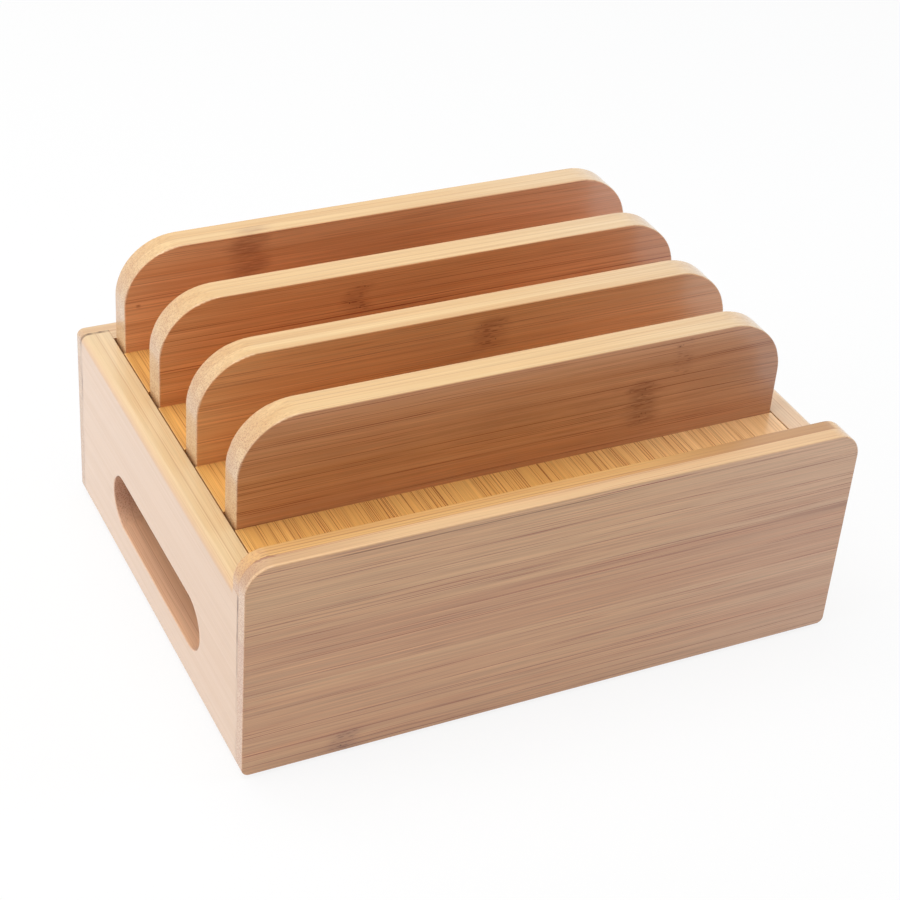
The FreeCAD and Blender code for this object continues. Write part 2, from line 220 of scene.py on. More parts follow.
strips, given, results = new_group(
    "bamboo_strips",
    {"Place": NOWHERE, "Strip": 23.0, "Layer": 6.0, "Seed": 0.0},
    {"Own": "Color", "Tint": "Float", "Seam": "Float", "Joint": "Float", "Second": "Float"})
axes = axes_of(strips, given["Place"])
layer = maths(strips, "FLOOR", maths(strips, "DIVIDE", axes["Z"], given["Layer"]))
across = plus(strips, maths(strips, "DIVIDE", axes["Y"], given["Strip"]), times(strips, layer, LAYER_SHIFT))
name_tag = vector_of(strips, maths(strips, "FLOOR", across), layer, given["Seed"])
dice = add(strips, "ShaderNodeTexWhiteNoise", {"Vector": name_tag}, noise_dimensions="3D").outputs
to_seam = times(strips, maths(strips, "PINGPONG", across, HALF), given["Strip"])
to_joint = away(strips, axes["Z"], given["Layer"])
give_out(strips, results, Own=dice["Color"], Tint=dice["Value"],
         Seam=fade(strips, to_seam, *SEAM_HALF), Joint=fade(strips, to_joint, *JOINT_HALF),
         Second=maths(strips, "GREATER_THAN", axes["Z"], given["Layer"]))

# %% [markdown]
# ## Fibres
#
# Bamboo has no year rings. Its wood is pale ground tissue with bundles of dark fibres that run the whole
# length of the cane. On a long face they are hair lines and dashes, and on a cut end the very same
# bundles are dots. So the pattern is a solid one. Threads are points scattered over the cut end and
# drawn straight through the board, and dashes and streaks are cells and noise that are stretched thirty
# to a hundred and fifty times along it. Where a rounded corner turns from end to edge, the dots then draw
# out into lines by themselves.

# %% Group: fibres, their bends
CANE_SHIFT = (900.0, 70.0, 70.0)  # each strip is cut from another part of the pattern
BENDS = (0.011, 0.03, 0.03)
BEND_ACROSS, BEND_THROUGH = 1.4, 0.8

fibres, given, results = new_group(
    "bamboo_fibres",
    {"Place": NOWHERE, "Own": (0.0, 0.0, 0.0, 1.0), "End": 0.0, "Density": 0.5, "Fineness": 1.0,
     "Thickness": 0.15},
    {"Streak": "Float", "Hair": "Float", "Thread": "Float", "Dash": "Float", "Pore": "Float"})
own_place = vector(fibres, "ADD", given["Place"], vector(fibres, "MULTIPLY", given["Own"], CANE_SHIFT))
sway = minus(fibres, noise(fibres, own_place, BENDS), HALF)
bend = vector_of(fibres, 0.0, times(fibres, sway, BEND_ACROSS), times(fibres, sway, BEND_THROUGH))
swayed = vector(fibres, "ADD", own_place, bend)
print("fibres bend by up to", BEND_ACROSS * HALF, "mm")

# %% Group: fibres, their lines
# Noise is given as a pattern, its detail and its roughness. A step is given as two limits and the values
# below and above them.
BROAD, BROAD_SHARE = ((0.003, 0.10, 0.10), 2.0), 0.55
MIDDLE, MIDDLE_SHARE = ((0.006, 0.50, 0.50), 2.0, 0.6), 0.45
HAIRS = ((0.016, 2.3, 2.3), 1.5, 0.6)
BUNCHES, BUNCH_STEP = ((0.004, 0.20, 0.20), 1.0), (0.30, 0.62, 0.1, 1.0)
BREAKS, BREAK_STEP = ((0.012, 0.60, 0.60), 2.0), (0.38, 0.58, 0.15, 1.0)
THREADS, THREAD_EDGE = (1.30, 1.30, 0.0), 0.06
DASHES, DASH_HALF, DASH_STEP = (0.024, 1.05, 1.05), (0.12, 0.32), (0.35, 0.6, 0.35, 1.0)
PORES, PORE_HALF = (1.15, 1.15, 0.0), (0.16, 0.36)

fine = given["Fineness"]
axes = axes_of(fibres, swayed)
cut_end = vector_of(fibres, axes["Y"], axes["Z"])
cut_end = vector(fibres, "MULTIPLY", cut_end, vector_of(fibres, fine, fine, 1.0))
finer = vector(fibres, "MULTIPLY", swayed, vector_of(fibres, 1.0, fine, fine))
broad = noise(fibres, swayed, *BROAD)
middle = noise(fibres, swayed, *MIDDLE)
streak = plus(fibres, times(fibres, broad, BROAD_SHARE), times(fibres, middle, MIDDLE_SHARE))
breaks = ramp(fibres, noise(fibres, swayed, *BREAKS), *BREAK_STEP)
bunches = minus(fibres, noise(fibres, swayed, *BUNCHES), HALF)
crowd = ramp(fibres, plus(fibres, bunches, given["Density"]), *BUNCH_STEP)
from_thread = minus(fibres, cells(fibres, cut_end, THREADS, "2D"), given["Thickness"])
thread = times(fibres, fade(fibres, from_thread, -THREAD_EDGE, THREAD_EDGE), breaks, crowd)
dash = fade(fibres, cells(fibres, swayed, DASHES), *DASH_HALF)
pore = fade(fibres, cells(fibres, cut_end, PORES, "2D"), *PORE_HALF)
give_out(fibres, results, Streak=streak, Hair=noise(fibres, finer, *HAIRS), Thread=thread,
         Dash=times(fibres, dash, ramp(fibres, middle, *DASH_STEP)), Pore=times(fibres, pore, given["End"]))

# %% [markdown]
# ## Knuckles
#
# A cane is closed by a wall at every joint. Planed flat, that joint stays as a dusky smudge across one
# strip, with short broken fibres and a few pinprick dots. No two are alike: one is a soft stain, another
# is nearly all dots. A random pattern would put them anywhere, so each knuckle on the station is placed
# one by one, with a middle and a half size in the same millimetres as the strips, and with its own share of
# stain and dots. A long faint one with no dots serves as a soft dark patch.

# %% Group: one knuckle
OUTLINE, OUTLINE_ALONG, OUTLINE_ACROSS = ((0.03, 0.16, 0.16), 3.0, 0.65), 1.6, 0.6
STRIP_EDGE, LAYER_EDGE = (0.6, 1.05), (0.98, 1.02)  # edges are counted in half sizes
SMUDGE_EDGE = (0.1, 1.0)
RAGGED, RAGGED_STEP = ((0.09, 0.8, 0.8), 3.0, 0.7), (0.28, 0.66, 0.35, 1.0)
BROKEN, BROKEN_EDGE, BROKEN_HALF = (0.22, 0.95, 0.95), (0.15, 0.75), (0.16, 0.40, 0.8)
PINPRICKS, PINPRICK_EDGE, PINPRICK_HALF = (0.40, 0.34, 0.34), (0.25, 0.6), (0.08, 0.19)

knuckle, given, results = new_group(
    "bamboo_knuckle",
    {"Place": NOWHERE, "Middle": NOWHERE, "Half size": (8.0, 10.0, 6.0), "Stain": 0.5, "Dots": 0.5},
    {"Shade": "Float", "Dots": "Float"})
place = given["Place"]
offset = vector(knuckle, "SUBTRACT", place, given["Middle"])
axes = axes_of(knuckle, vector(knuckle, "DIVIDE", offset, given["Half size"]))
wander = minus(knuckle, noise(knuckle, place, *OUTLINE), HALF)
along = maths(knuckle, "ABSOLUTE", plus(knuckle, axes["X"], times(knuckle, wander, OUTLINE_ALONG)))
beside = maths(knuckle, "ABSOLUTE", plus(knuckle, axes["Y"], times(knuckle, wander, OUTLINE_ACROSS)))
under = maths(knuckle, "ABSOLUTE", axes["Z"])
inside = times(knuckle, fade(knuckle, beside, *STRIP_EDGE), fade(knuckle, under, *LAYER_EDGE))
ragged = ramp(knuckle, noise(knuckle, place, *RAGGED), *RAGGED_STEP)
smudge = times(knuckle, fade(knuckle, along, *SMUDGE_EDGE), ragged, given["Stain"])
broken = fade(knuckle, cells(knuckle, place, BROKEN), *BROKEN_HALF)
broken = times(knuckle, fade(knuckle, along, *BROKEN_EDGE), broken, given["Dots"])
dots = fade(knuckle, cells(knuckle, place, PINPRICKS), *PINPRICK_HALF)
dots = times(knuckle, fade(knuckle, along, *PINPRICK_EDGE), dots, given["Dots"])
shade = plus(knuckle, smudge, broken, clamp=True)
give_out(knuckle, results, Shade=times(knuckle, shade, inside), Dots=times(knuckle, dots, inside))

# %% [markdown]
# ## From patterns to colour, gloss and relief
#
# The board group mixes the patterns: pale tissue towards deep streaks, then fibre lines, pores on cut
# ends, glue lines and knuckles on top. The lacquer lies thinner on fibres and pores, so those are a
# little rougher and sit a little lower. One group serves every board, so each finish below is only a
# list of values.

# %% Group: board, its colour
END_TONE, END_SHARE = (0.28, 0.165, 0.19, 1.0), 0.24
STREAK_STEP = (0.30, 0.70)

board, given, results = new_group(
    "bamboo_board",
    {"Place": NOWHERE, "End": 0.0, "Wide": 1.0, "Strip": 23.0, "Layer": 6.0, "Seed": 0.0,
     "Pale": (0.8, 0.56, 0.31, 1.0), "Deep": (0.6, 0.36, 0.16, 1.0), "Dark": (0.25, 0.11, 0.04, 1.0),
     "Strip spread": 0.5, "Density": 0.5, "Fineness": 1.0, "Thickness": 0.15, "On face": 1.0,
     "On edge": 0.5, "Hair strength": 0.5, "Thread strength": 0.4, "Dash strength": 0.4,
     "Seam strength": 0.3, "Joint strength": 0.3, "Second layer": (1.0, 1.0, 1.0, 1.0), "Tone": 0.0,
     "Knuckle": 0.0, "Dots": 0.0},
    {"Colour": "Color", "Roughness": "Float", "Height": "Float"})
cut = place_group(board, strips, {name: given[name] for name in ("Place", "Strip", "Layer", "Seed")})
grown = place_group(board, fibres, {"Own": cut["Own"], **{
    name: given[name] for name in ("Place", "End", "Density", "Fineness", "Thickness")}})
tint = times(board, minus(board, cut["Tint"], HALF), given["Strip spread"])
streaks = ramp(board, grown["Streak"], *STREAK_STEP)
tone = plus(board, streaks, plus(board, tint, given["Tone"]), clamp=True)
colour = mix(board, tone, given["Pale"], given["Deep"])
colour = mix(board, cut["Second"], colour, given["Second layer"], "MULTIPLY")
to_face = times(board, given["Wide"], minus(board, given["On face"], given["On edge"]))
on_face = plus(board, given["On edge"], to_face)
hair = times(board, minus(board, grown["Hair"], HALF), given["Hair strength"], on_face)
colour = mix(board, 1.0, colour, plus(board, hair, 1.0), "MULTIPLY")
colour = mix(board, times(board, given["End"], END_SHARE), colour, END_TONE)
print("the ground colour of a board is mixed")

# %% Group: board, its lines and gloss
PORE_SHARE = 0.52
KNUCKLE_TONE, KNUCKLE_SHARE = (0.21, 0.05, 0.016, 1.0), 0.66
DOT_TONE, DOT_SHARE = (0.09, 0.026, 0.01, 1.0), 0.85
GLOSS_STEP = (0.25, 0.75, 0.35, 0.45)
LINE_ROUGHNESS = 0.22

lines = plus(board, times(board, grown["Thread"], given["Thread strength"]),
             times(board, grown["Dash"], given["Dash strength"]), clamp=True)
lines = plus(board, times(board, lines, on_face), times(board, grown["Pore"], PORE_SHARE), clamp=True)
glue = highest(board, times(board, cut["Seam"], given["Seam strength"]),
               times(board, cut["Joint"], given["Joint strength"]))
lines = highest(board, lines, glue)
colour = mix(board, lines, colour, given["Dark"])
colour = mix(board, times(board, given["Knuckle"], KNUCKLE_SHARE), colour, KNUCKLE_TONE)
colour = mix(board, times(board, given["Dots"], DOT_SHARE), colour, DOT_TONE)
gloss = ramp(board, grown["Streak"], *GLOSS_STEP)
give_out(board, results, Colour=colour, Roughness=plus(board, gloss, times(board, lines, LINE_ROUGHNESS)),
         Height=minus(board, 1.0, plus(board, lines, given["Dots"])))

# %% [markdown]
# ## One recipe for all boards
#
# Boards differ in three ways: where their fibres run, how their strips lie, and their tone. The recipe
# therefore takes the object's X, Y and Z in the order along, across, through, counted from one corner of
# the board. It also tells the wide face from the narrow edge by the surface's own direction, and gives the
# wide face a darker, redder tint. That tint is partly the strips' own tone and partly painted shade and
# bounce light, since upright faces lie in shade while tops and rims catch the light.
#
# Two more things happen on real boards. Single strips are paler or deeper than their neighbours. And the
# lacquer thins out over pinpricks and open seams, which would look grey under a full clear coat. A third
# tint is painted light: towards the right end the colour turns paler and cooler. This is a painted cool
# light with its reflection from the right, left off cut ends and off faces that look to the rear.

# %% Recipe: empty materials and places
MM = 1000.0
AXES = {"x": 0, "y": 1, "z": 2}


def new_material(name):
    """A material with an empty node tree."""
    material = bpy.data.materials.new(name)
    material.use_nodes = True
    material.node_tree.nodes.clear()
    return material, material.node_tree


def show(tree, shader):
    """Join a shader to the output of its material."""
    add(tree, "ShaderNodeOutputMaterial", {"Surface": shader.outputs[0]})


def in_mm(tree, place, shift):
    """A place in millimetres, moved by a shift."""
    made = add(tree, "ShaderNodeMapping", {"Vector": place, "Scale": (MM, MM, MM), "Location": shift})
    return made.outputs[0]


def low_corner(node):
    """The lowest corner of a board at rest, in millimetres."""
    return [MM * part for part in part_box(node)[0]]


def finish(material, *names):
    """Give a material to pieces, in place of the plain one that they came with."""
    for name in names:
        pieces[name].data.materials.clear()
        pieces[name].data.materials.append(material)
        print(name, "is finished with", material.name)


print("the deck's lowest corner is at", [round(part, 1) for part in low_corner("deck")], "mm")

# %% Recipe: tones and marks of one board
TONE_EDGE = 0.4
# painted cool light: none at the middle, full strength this far to the right, in millimetres
COOL_LIGHT_REACH = (0.0, 125.0)
# painted bounce light: full below the first height and gone above the second, in millimetres
SLOT_LIGHT_TOP = (60.0, 66.0)


def strip_tones(tree, place, width, tones):
    """A tone for each strip, from the lowest one up: below 0 is paler, above 0 deeper."""
    height = axes_of(tree, place)["Y"]
    total = 0.0
    for number, tone in enumerate(tones):
        step = tone - (tones[number - 1] if number else 0.0)
        seam = number * width
        total = plus(tree, total, ramp(tree, height, seam - TONE_EDGE, seam + TONE_EDGE, 0.0, step))
    return total


def marks_on(tree, place, knuckles, scars, seams):
    """The shade and the dots of a board's knuckles, scars and open seams."""
    shade, dots = 0.0, 0.0
    for middle, half_size, stain, dotted in knuckles:
        marks = place_group(tree, knuckle, {"Place": place, "Middle": middle, "Half size": half_size,
                                            "Stain": stain, "Dots": dotted})
        shade = highest(tree, shade, marks["Shade"])
        dots = highest(tree, dots, marks["Dots"])
    if scars:
        shade = highest(tree, shade, scars(tree, place))
    if seams:
        dots = highest(tree, dots, seams(tree, place))
    return shade, dots


def painted_cool_light_share(tree, from_middle, end, wide, rear, on_edge):
    """How much painted cool light a surface gets: more to the right, not on cut ends or rear faces, less on
    edges.
    """
    share = times(tree, ramp(tree, from_middle, *COOL_LIGHT_REACH), minus(tree, 1.0, end))
    share = times(tree, share, maths(tree, "MULTIPLY_ADD", wide, 1.0 - on_edge, on_edge))
    return times(tree, share, minus(tree, 1.0, rear, clamp=True))


print("tones drift over", COOL_LIGHT_REACH[1] - COOL_LIGHT_REACH[0], "mm")

# %% Recipe: a bamboo finish
END_SHARPNESS, WIDE_SHARPNESS = 1.5, 2.0
RELIEF, RELIEF_DEPTH = 0.15, 0.0002
WOOD_IOR = 1.5
COAT_ROUGHNESS, SHEEN_ROUGHNESS = 0.2, 0.35


def bamboo(name, directions, corner, values, face, knuckles=(), coat=1.0, sheen=0.0, tones=None, scars=None,
           seams=None, threads=None, handle=None, cool_light=None, edge_cool_light=1.0):
    """A lacquered bamboo material for one board, with its knuckles at the given middles and half sizes."""
    material, tree = new_material(name)
    source = add(tree, "ShaderNodeTexCoord", {}).outputs
    split = axes_of(tree, in_mm(tree, source["Object"], [-part for part in corner]))
    order = [AXES[letter] for letter in directions]
    place = vector_of(tree, *(split[axis] for axis in order))
    facing = axes_of(tree, source["Normal"])
    end = maths(tree, "POWER", maths(tree, "ABSOLUTE", facing[order[0]]), END_SHARPNESS)
    wide = maths(tree, "POWER", maths(tree, "ABSOLUTE", facing[order[2]]), WIDE_SHARPNESS)
    shade, dots = marks_on(tree, place, knuckles, scars, seams)
    own = {"Tone": strip_tones(tree, place, values["Strip"], tones)} if tones else {}
    if threads:
        own["Thread strength"] = threads(tree, place)
    surface = place_group(tree, board, {"Place": place, "End": end, "Wide": wide, "Knuckle": shade,
                                        "Dots": dots, **values, **own})
    # wide-face tint: partly the board's own tone, partly painted shade and bounce light
    colour = mix(tree, wide, surface["Colour"], face, "MULTIPLY")
    # painted bounce light: edges and cut faces low on a side wall, the slot's inside among them, are tinted
    # brighter and redder
    if handle:
        low_down = fade(tree, axes_of(tree, place)["Y"], *SLOT_LIGHT_TOP)
        colour = mix(tree, times(tree, minus(tree, 1.0, wide), low_down), colour, handle, "MULTIPLY")
    # painted cool light: a paler, cooler colour towards the right end, in place of the cool light from the
    # right
    if cool_light:
        from_middle = plus(tree, split["X"], corner[0])
        share = painted_cool_light_share(tree, from_middle, end, wide, facing["Y"], edge_cool_light)
        colour = mix(tree, share, colour, cool_light, "MULTIPLY")
    relief = add(tree, "ShaderNodeBump", {"Height": surface["Height"], "Strength": RELIEF,
                                          "Distance": RELIEF_DEPTH})
    lacquer = minus(tree, coat, dots, clamp=True) if coat and (knuckles or seams) else coat
    show(tree, add(tree, "ShaderNodeBsdfPrincipled", {
        "Base Color": colour, "Roughness": surface["Roughness"], "Normal": relief.outputs[0],
        "IOR": WOOD_IOR, "Coat Weight": lacquer, "Coat Roughness": COAT_ROUGHNESS, "Sheen Weight": sheen,
        "Sheen Roughness": SHEEN_ROUGHNESS}))
    return material


print("the bamboo recipe is ready")

# %% [markdown]
# ## Dividers
#
# Four upright boards of two layers, their fibres from left to right. Their wide faces are the reddest on
# the station, partly their own tone and partly painted bounce light from the deck and their neighbours.
# One finish for all four would be shorter, but boards from different canes never match, so each has a tone,
# a strength of lines and knuckles of its own. The face tints also hold painted shade on the front divider
# and painted light on the second one, which evens out the light that reaches them. The front one has three
# long soft stains too, and the rear one a pinprick near its left end. Two knuckles lie in rear layers and
# show from behind.

# %% Finish: dividers
SKIN = 0.05  # layers are counted from just outside a board, so that its face belongs to the first one
FRONT_LAYER, REAR_LAYER = 3.0, 9.1
LAYER_HALF = 3.2
# painted cool light at the right end of the dividers
DIVIDER_COOL_LIGHT = (0.99, 1.1, 1.46, 1.0)
DIVIDER_VALUES = {
    "Pale": (0.78, 0.52, 0.23, 1.0), "Deep": (0.66, 0.38, 0.14, 1.0), "Dark": (0.31, 0.085, 0.025, 1.0),
    "Strip": 23.0, "Layer": 6.1, "Strip spread": 0.12, "Density": 0.56, "Thickness": 0.16,
    "Hair strength": 0.7, "Dash strength": 0.3, "Seam strength": 0.25, "Joint strength": 0.22}
# face: a tint on the wide faces, partly each board's own tone, partly painted shade and bounce light
DIVIDERS = {
    "divider_1": {"face": (0.79, 0.56, 0.54, 1.0), "seed": 21.0, "threads": 0.95, "knuckles": [
        ((51.5, 99.5, FRONT_LAYER), (12.0, 12.5, LAYER_HALF), 0.85, 0.55),
        ((69.0, 117.5, FRONT_LAYER), (7.0, 9.0, LAYER_HALF), 0.2, 0.8),
        ((-6.0, 104.0, FRONT_LAYER), (42.0, 10.0, LAYER_HALF), 0.24, 0.0),
        ((42.0, 103.0, FRONT_LAYER), (38.0, 10.0, LAYER_HALF), 0.24, 0.0),
        ((94.0, 99.0, FRONT_LAYER), (38.0, 13.0, LAYER_HALF), 0.24, 0.0)]},
    "divider_2": {"face": (1.06, 0.83, 0.78, 1.0), "seed": 26.0, "threads": 0.6, "knuckles": [
        ((6.0, 116.5, FRONT_LAYER), (11.0, 8.0, LAYER_HALF), 0.6, 0.8)]},
    "divider_3": {"face": (0.90, 0.62, 0.56, 1.0), "seed": 23.0, "threads": 0.75, "knuckles": [
        ((-32.0, 115.0, FRONT_LAYER), (8.0, 7.0, LAYER_HALF), 0.5, 0.9),
        ((71.0, 112.0, REAR_LAYER), (9.0, 9.0, LAYER_HALF), 0.5, 0.7)]},
    "divider_4": {"face": (0.98, 0.71, 0.74, 1.0), "seed": 24.0, "threads": 0.65, "knuckles": [
        ((-61.5, 117.5, FRONT_LAYER), (12.0, 11.0, LAYER_HALF), 0.85, 0.0),
        ((-108.7, 102.4, FRONT_LAYER), (1.6, 1.0, LAYER_HALF), 1.0, 0.0),
        ((84.0, 108.0, REAR_LAYER), (10.0, 10.5, LAYER_HALF), 0.55, 0.7)]},
}
for name, own in DIVIDERS.items():
    values = {**DIVIDER_VALUES, "Seed": own["seed"], "Thread strength": own["threads"]}
    corner = (0.0, low_corner(name)[1] - SKIN, 0.0)
    divider_bamboo = bamboo(f"{name}_bamboo", "xzy", corner, values, own["face"], own["knuckles"],
                            cool_light=DIVIDER_COOL_LIGHT)
    finish(divider_bamboo, name)

# %% [markdown]
# ## Deck
#
# The deck's fibres run from front to back. It is glued up from strips on edge, so its top is combed with
# dense dark lines, in bunches, between plainer golden strips. The lines are faint at the right end and a
# little fainter behind the front divider. Painting a mask would do that too, but two smooth steps across
# the board need no image.

# %% Finish: deck
FAINT_RIGHT = (199.0, 219.0, 1.0, 0.3)  # steps of strength, with their limits in millimetres
FAINT_REAR = (31.0, 42.0, 1.0, 0.6)
DECK_FACE = (1.0, 1.0, 1.0, 1.0)
# painted cool light at the right end of the deck
DECK_COOL_LIGHT = (1.18, 1.38, 2.45, 1.0)
DECK_VALUES = {
    "Pale": (0.81, 0.445, 0.122, 1.0), "Deep": (0.715, 0.365, 0.09, 1.0), "Dark": (0.29, 0.075, 0.008, 1.0),
    "Strip": 19.0, "Layer": 40.0, "Seed": 31.0, "Strip spread": 0.3, "Density": 0.72, "Fineness": 1.4,
    "Thickness": 0.25, "Hair strength": 0.7, "Dash strength": 0.35, "Seam strength": 0.2,
    "Joint strength": 0.0}
DECK_KNUCKLES = [((90.0, 70.0, 9.0), (8.0, 9.0, 8.0), 0.6, 0.6),
                 ((130.0, 165.0, 9.0), (8.0, 9.0, 8.0), 0.6, 0.6)]


def deck_threads(tree, place):
    """The strength of the dark lines from place to place."""
    axes = axes_of(tree, place)
    return times(tree, ramp(tree, axes["Y"], *FAINT_RIGHT), ramp(tree, axes["X"], *FAINT_REAR))


low = low_corner("deck")
deck_bamboo = bamboo("deck_bamboo", "yxz", (low[0] - SKIN, low[1], low[2] - SKIN), DECK_VALUES, DECK_FACE,
                     DECK_KNUCKLES, cool_light=DECK_COOL_LIGHT, threads=deck_threads)
finish(deck_bamboo, "deck")

# %% [markdown]
# ## Front and back walls
#
# The front wall shows its widest face to the room: strips of uneven tones, slightly pinker than the
# dividers, with one knuckle low on the left. From above its lip shows both layers, and the inner one is
# the deeper. The back wall is paler, with two knuckles on the outside.
#
# The front wall also has marks that no pattern gives: an open joint at the lip's left end, a dark seam
# and a faint line below the lip, lines along the lip, a streak, a smudge and two browner ends. Each is a
# distance from a line or a spot, turned into a soft edge. That keeps it sharp from any distance, and it
# can be moved by changing one number.

# %% Values for the walls
WALL_VALUES = {
    "Pale": (0.755, 0.48, 0.23, 1.0), "Deep": (0.65, 0.355, 0.16, 1.0), "Dark": (0.34, 0.08, 0.028, 1.0),
    "Strip": 22.9, "Layer": 6.1, "Strip spread": 0.18, "Density": 0.57, "Thickness": 0.165, "On edge": 0.5,
    "Hair strength": 0.8, "Thread strength": 1.0, "Dash strength": 0.3, "Seam strength": 0.2,
    "Joint strength": 0.3}
# a tint on the wide faces: partly the boards' own tone, partly painted shade
WALL_FACE = (0.875, 0.765, 0.765, 1.0)
# painted cool light at the right end of the front wall
WALL_COOL_LIGHT = (1.02, 1.09, 1.34, 1.0)
STRIP = WALL_VALUES["Strip"]
print("wall strips are", STRIP, "mm wide")

# %% Marks: lines on the front wall
LINE_HALF = (0.1, 0.42)
LINE_RISE, LINE_FALL = 15.0, 40.0
DARK_SEAM = {"height": 99.7, "start": -100.0, "stop": 42.0, "strength": 0.6}
FAINT_LINE = {"height": 101.0, "start": -104.0, "stop": -45.0, "strength": 0.5}
LIP_TOP = (101.6, 102.0)
LIP_LINES = ((7.4, 0.55), (8.9, 0.7), (10.5, 0.5))  # depths and strengths
LIP_LINE_HALF = (0.08, 0.36)
LIP_BREAKS, LIP_BREAK_STEP = (0.02, 0.3, 0.9), (0.3, 0.6, 0.35, 1.0)
GAP_DEPTH, GAP_HALF = 5.9, (0.3, 0.9)
GAP_MIDDLE, GAP_REACH = -118.0, (2.5, 6.0)
GAP_BENDS, GAP_BEND = ((0.5, 0.1, 0.1), 2.0), 1.6


def long_line(tree, axes, height, start, stop, strength):
    """A thin line at a height, which fades in after its start and out before its stop."""
    line = fade(tree, away(tree, axes["Y"], height), *LINE_HALF, strength)
    return times(tree, line, ramp(tree, axes["X"], start, start + LINE_RISE),
                 fade(tree, axes["X"], stop - LINE_FALL, stop))


def front_seam(tree, place):
    """The dark seam that runs below the lip, from the left to past the middle."""
    return long_line(tree, axes_of(tree, place), **DARK_SEAM)


def lip_lines(tree, place, axes):
    """Broken lines along the top of the lip's inner layer."""
    broken = ramp(tree, noise(tree, place, LIP_BREAKS), *LIP_BREAK_STEP)
    on_top = ramp(tree, axes["Y"], *LIP_TOP)
    return highest(tree, *(
        times(tree, fade(tree, away(tree, axes["Z"], depth), *LIP_LINE_HALF, strength), on_top, broken)
        for depth, strength in LIP_LINES))


def open_joint(tree, place, axes):
    """The joint of the two layers, which gapes at the lip's left end."""
    bend = times(tree, minus(tree, noise(tree, place, *GAP_BENDS), HALF), GAP_BEND)
    to_joint = maths(tree, "ABSOLUTE", plus(tree, minus(tree, axes["Z"], GAP_DEPTH), bend))
    from_end = away(tree, axes["X"], GAP_MIDDLE)
    return times(tree, fade(tree, to_joint, *GAP_HALF), fade(tree, from_end, *GAP_REACH))


print(len(LIP_LINES), "lines run along the lip")

# %% Marks: stains on the front wall
STREAK_HEIGHT, STREAK_HALF, STREAK_SHARE = 68.6, (0.3, 2.6), 0.5
STREAK_START = (25.0, 70.0)
SMUDGE_HEIGHT, SMUDGE_HALF = 47.1, (0.2, 1.2)
SMUDGE_MIDDLE, SMUDGE_REACH, SMUDGE_SHARE = -54.0, (3.0, 12.0), 0.4
STAIN_BREAKS, STAIN_BREAK_STEP = ((0.02, 0.7, 0.7), 2.0), (0.35, 0.65)
INNER_LAYER = (6.0, 6.2)
RIGHT_END = (15.0, 90.0, 0.0, 0.72)  # steps of shade, with their limits in millimetres
LEFT_END = (-120.0, -60.0, 0.5, 0.03)
ROUNDING_DEPTH, ROUNDING_HEIGHT = (0.9, 1.7), (91.0, 97.0)


def front_stains(tree, place, axes):
    """A dark streak on the right, and a small smudge on the left."""
    ragged = ramp(tree, noise(tree, place, *STAIN_BREAKS), *STAIN_BREAK_STEP)
    streak = times(tree, fade(tree, away(tree, axes["Y"], STREAK_HEIGHT), *STREAK_HALF, STREAK_SHARE),
                   ramp(tree, axes["X"], *STREAK_START))
    smudge = times(tree, fade(tree, away(tree, axes["X"], SMUDGE_MIDDLE), *SMUDGE_REACH, SMUDGE_SHARE),
                   fade(tree, away(tree, axes["Y"], SMUDGE_HEIGHT), *SMUDGE_HALF))
    return times(tree, highest(tree, streak, smudge), ragged)


def lip_ends(tree, axes):
    """The browner right end of the lip's inner layer, and the browner left end of its outer rounding."""
    inner = ramp(tree, axes["Z"], *INNER_LAYER)
    right_end = times(tree, ramp(tree, axes["X"], *RIGHT_END), inner, ramp(tree, axes["Y"], *LIP_TOP))
    left_end = times(tree, ramp(tree, axes["X"], *LEFT_END), minus(tree, 1.0, inner),
                     ramp(tree, axes["Z"], *ROUNDING_DEPTH), ramp(tree, axes["Y"], *ROUNDING_HEIGHT))
    return highest(tree, right_end, left_end)


def front_scars(tree, place):
    """All the brown marks of the front wall."""
    axes = axes_of(tree, place)
    return highest(tree, open_joint(tree, place, axes), long_line(tree, axes, **FAINT_LINE),
                   lip_lines(tree, place, axes), front_stains(tree, place, axes), lip_ends(tree, axes))


print("the lip browns from", RIGHT_END[0], "mm right of the middle")

# %% Finish: front and back walls
FAR_LAYER = 9.0  # the outer layer of the back and right walls
FRONT_LOWEST_SEAM, BACK_LOWEST_SEAM = 17.3, 9.0
FRONT_TONES = (0.2, 0.13, 0.38, -0.3, -0.4)
FRONT_VALUES = {**WALL_VALUES, "Second layer": (0.93, 0.82, 0.54, 1.0), "Seed": 3.0}
FRONT_KNUCKLES = [((-86.0, 11.5, FRONT_LAYER), (10.0, 6.5, LAYER_HALF), 0.55, 1.0)]
BACK_VALUES = {**WALL_VALUES, "Pale": (0.717, 0.511, 0.274, 1.0), "Deep": (0.6175, 0.378, 0.19, 1.0),
               "Seed": 5.0}
BACK_KNUCKLES = [((42.0, 45.0, FAR_LAYER), (9.0, 10.0, LAYER_HALF), 0.6, 0.6),
                 ((-68.0, 68.0, FAR_LAYER), (8.0, 10.0, LAYER_HALF), 0.5, 0.8)]

corner = (0.0, low_corner("front_panel")[1] - SKIN, FRONT_LOWEST_SEAM - STRIP)
front_bamboo = bamboo("front_wall_bamboo", "xzy", corner, FRONT_VALUES, WALL_FACE, FRONT_KNUCKLES,
                      tones=FRONT_TONES, scars=front_scars, seams=front_seam, cool_light=WALL_COOL_LIGHT,
                      edge_cool_light=0.0)
finish(front_bamboo, "front_panel")
corner = (0.0, low_corner("back_panel")[1] - SKIN, BACK_LOWEST_SEAM - STRIP)
back_bamboo = bamboo("back_wall_bamboo", "xzy", corner, BACK_VALUES, WALL_FACE, BACK_KNUCKLES)
finish(back_bamboo, "back_panel")
